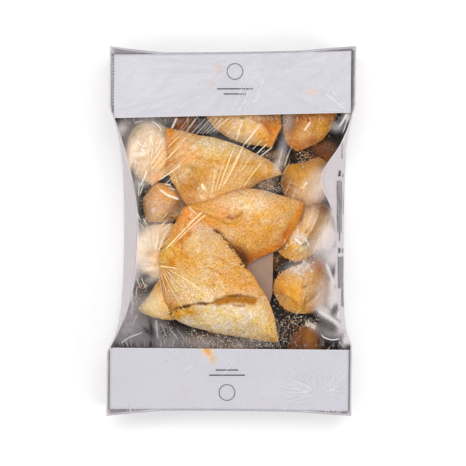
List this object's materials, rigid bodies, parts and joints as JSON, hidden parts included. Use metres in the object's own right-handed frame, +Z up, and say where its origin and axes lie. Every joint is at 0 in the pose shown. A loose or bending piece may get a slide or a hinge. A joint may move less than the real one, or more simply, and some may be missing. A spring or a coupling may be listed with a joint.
{
  "type": "packed samosas in a wrapped tray",
  "caption": "Shallow paperboard tray with wide end flaps, filled with fried triangular pastries and sealed in clear stretched film.",
  "frame": {"origin": "middle of the footprint, on the surface the tray stands on", "axes": "+Y along the tray towards its upper end flap, +Z up out of the film window"},
  "size_m": [0.1668, 0.2468, 0.0553],
  "materials": {
    "board": "matte",
    "film": "gloss",
    "crust": "matte",
    "frost": "satin",
    "print": "matte"
  },
  "bodies": {
    "root": {"carton": "board", "film_and_samosas": "film"}
  },
  "joints": []
}
